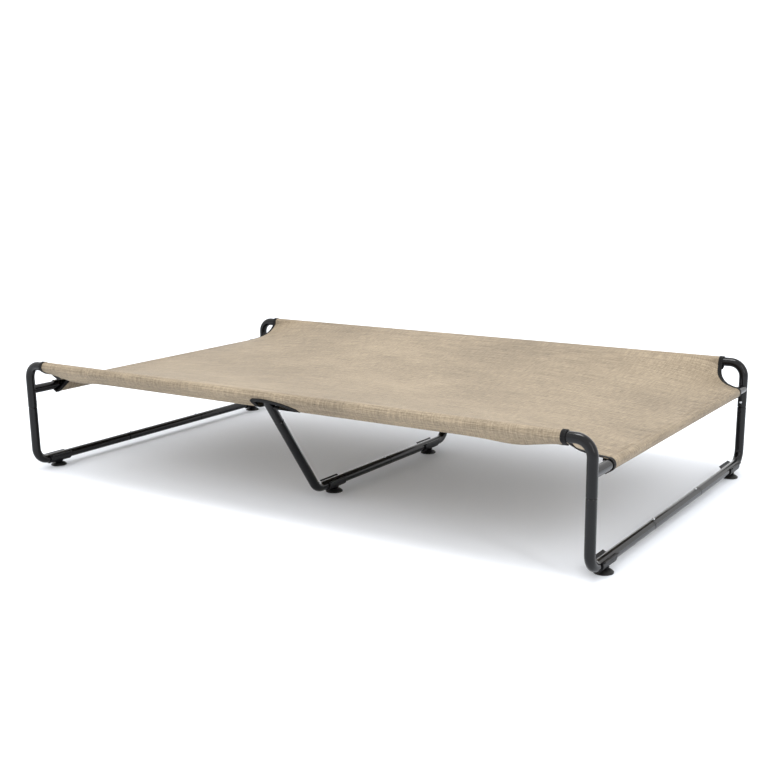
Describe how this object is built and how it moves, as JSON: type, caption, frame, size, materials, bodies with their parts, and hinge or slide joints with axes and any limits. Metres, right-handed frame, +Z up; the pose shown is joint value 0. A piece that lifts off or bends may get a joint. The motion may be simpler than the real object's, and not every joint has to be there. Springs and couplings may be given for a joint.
{
  "type": "raised dog bed",
  "caption": "Raised dog bed: a mesh sling stretched over a round steel tube frame with two end frames, a splayed middle frame, snap buttons and clip-on feet.",
  "frame": {"origin": "on the floor, under the middle of the bed", "axes": "+X along the bed, +Y across it, +Z up"},
  "size_m": [1.578, 0.9452, 0.2896],
  "materials": {
    "frame_steel": "gloss",
    "button_steel": "satin",
    "spring_steel": "satin",
    "clip_plastic": "satin",
    "pad_rubber": "matte",
    "mesh_fabric": "woven",
    "binding_tape": "woven"
  },
  "bodies": {
    "frame": {"end_tube_left": "frame_steel", "floor_tube_left": "frame_steel", "corner_tube_front_left": "frame_steel", "side_tube_front_left": "frame_steel", "leg_tube_front_left": "frame_steel", "corner_tube_back_left": "frame_steel", "side_tube_back_left": "frame_steel", "leg_tube_back_left": "frame_steel", "end_tube_right": "frame_steel", "floor_tube_right": "frame_steel", "corner_tube_front_right": "frame_steel", "side_tube_front_right": "frame_steel", "leg_tube_front_right": "frame_steel", "corner_tube_back_right": "frame_steel", "side_tube_back_right": "frame_steel", "leg_tube_back_right": "frame_steel", "mid_tee_front": "frame_steel", "mid_tee_back": "frame_steel", "mid_leg_front": "frame_steel", "mid_leg_back": "frame_steel", "snap_springs": "spring_steel", "mesh_sling": "mesh_fabric", "notch_binding_front": "binding_tape", "corner_binding_front_left": "binding_tape", "corner_binding_front_right": "binding_tape", "notch_binding_back": "binding_tape", "corner_binding_back_left": "binding_tape", "corner_binding_back_right": "binding_tape"},
    "button_leg_front_left": {"snap_button_leg_front_left": "button_steel"},
    "button_leg_back_left": {"snap_button_leg_back_left": "button_steel"},
    "button_leg_front_right": {"snap_button_leg_front_right": "button_steel"},
    "button_leg_back_right": {"snap_button_leg_back_right": "button_steel"},
    "button_floor_front_left": {"snap_button_floor_front_left": "button_steel"},
    "button_floor_back_left": {"snap_button_floor_back_left": "button_steel"},
    "button_floor_front_right": {"snap_button_floor_front_right": "button_steel"},
    "button_floor_back_right": {"snap_button_floor_back_right": "button_steel"},
    "button_mid_front": {"snap_button_mid_front": "button_steel"},
    "button_mid_back": {"snap_button_mid_back": "button_steel"},
    "button_mid_floor": {"snap_button_mid_floor": "button_steel"},
    "foot_front_left": {"foot_clip_front_left": "clip_plastic", "foot_pad_front_left": "pad_rubber"},
    "foot_front_right": {"foot_clip_front_right": "clip_plastic", "foot_pad_front_right": "pad_rubber"},
    "foot_back_left": {"foot_clip_back_left": "clip_plastic", "foot_pad_back_left": "pad_rubber"},
    "foot_back_right": {"foot_clip_back_right": "clip_plastic", "foot_pad_back_right": "pad_rubber"},
    "foot_front_middle": {"foot_clip_front_middle": "clip_plastic", "foot_pad_front_middle": "pad_rubber"},
    "foot_back_middle": {"foot_clip_back_middle": "clip_plastic", "foot_pad_back_middle": "pad_rubber"}
  },
  "joints": [
    {"name": "press_leg_front_left", "type": "slide", "parent": "frame", "child": "button_leg_front_left", "axis": [0, -1, 0], "range_m": [0, 0.0036], "stiffness_N_per_m": 3000, "springref_m": -0.002, "deforming": ["snap_springs"]},
    {"name": "press_leg_back_left", "type": "slide", "parent": "frame", "child": "button_leg_back_left", "axis": [0, 1, 0], "range_m": [0, 0.0036], "stiffness_N_per_m": 3000, "springref_m": -0.002, "deforming": ["snap_springs"]},
    {"name": "press_leg_front_right", "type": "slide", "parent": "frame", "child": "button_leg_front_right", "axis": [0, -1, 0], "range_m": [0, 0.0036], "stiffness_N_per_m": 3000, "springref_m": -0.002, "deforming": ["snap_springs"]},
    {"name": "press_leg_back_right", "type": "slide", "parent": "frame", "child": "button_leg_back_right", "axis": [0, 1, 0], "range_m": [0, 0.0036], "stiffness_N_per_m": 3000, "springref_m": -0.002, "deforming": ["snap_springs"]},
    {"name": "press_floor_front_left", "type": "slide", "parent": "frame", "child": "button_floor_front_left", "axis": [0, 0, -1], "range_m": [0, 0.0036], "stiffness_N_per_m": 3000, "springref_m": -0.002, "deforming": ["snap_springs"]},
    {"name": "press_floor_back_left", "type": "slide", "parent": "frame", "child": "button_floor_back_left", "axis": [0, 0, -1], "range_m": [0, 0.0036], "stiffness_N_per_m": 3000, "springref_m": -0.002, "deforming": ["snap_springs"]},
    {"name": "press_floor_front_right", "type": "slide", "parent": "frame", "child": "button_floor_front_right", "axis": [0, 0, -1], "range_m": [0, 0.0036], "stiffness_N_per_m": 3000, "springref_m": -0.002, "deforming": ["snap_springs"]},
    {"name": "press_floor_back_right", "type": "slide", "parent": "frame", "child": "button_floor_back_right", "axis": [0, 0, -1], "range_m": [0, 0.0036], "stiffness_N_per_m": 3000, "springref_m": -0.002, "deforming": ["snap_springs"]},
    {"name": "press_mid_front", "type": "slide", "parent": "frame", "child": "button_mid_front", "axis": [0, -0.8198, -0.5726], "range_m": [0, 0.0036], "stiffness_N_per_m": 3000, "springref_m": -0.002, "deforming": ["snap_springs"]},
    {"name": "press_mid_back", "type": "slide", "parent": "frame", "child": "button_mid_back", "axis": [0, 0.8198, -0.5726], "range_m": [0, 0.0036], "stiffness_N_per_m": 3000, "springref_m": -0.002, "deforming": ["snap_springs"]},
    {"name": "press_mid_floor", "type": "slide", "parent": "frame", "child": "button_mid_floor", "axis": [0, 0, -1], "range_m": [0, 0.0036], "stiffness_N_per_m": 3000, "springref_m": -0.002, "deforming": ["snap_springs"]},
    {"name": "turn_foot_front_left", "type": "hinge", "parent": "frame", "child": "foot_front_left", "pos_m": [-0.769, -0.391, 0.024], "axis": [0, 1, 0], "range_deg": [-25, 25]},
    {"name": "turn_foot_front_right", "type": "hinge", "parent": "frame", "child": "foot_front_right", "pos_m": [0.769, -0.391, 0.024], "axis": [0, 1, 0], "range_deg": [-25, 25]},
    {"name": "turn_foot_back_left", "type": "hinge", "parent": "frame", "child": "foot_back_left", "pos_m": [-0.769, 0.391, 0.024], "axis": [0, 1, 0], "range_deg": [-25, 25]},
    {"name": "turn_foot_back_right", "type": "hinge", "parent": "frame", "child": "foot_back_right", "pos_m": [0.769, 0.391, 0.024], "axis": [0, 1, 0], "range_deg": [-25, 25]},
    {"name": "turn_foot_front_middle", "type": "hinge", "parent": "frame", "child": "foot_front_middle", "pos_m": [0, -0.215, 0.024], "axis": [0, 1, 0], "range_deg": [-25, 25]},
    {"name": "turn_foot_back_middle", "type": "hinge", "parent": "frame", "child": "foot_back_middle", "pos_m": [0, 0.215, 0.024], "axis": [0, 1, 0], "range_deg": [-25, 25]}
  ]
}
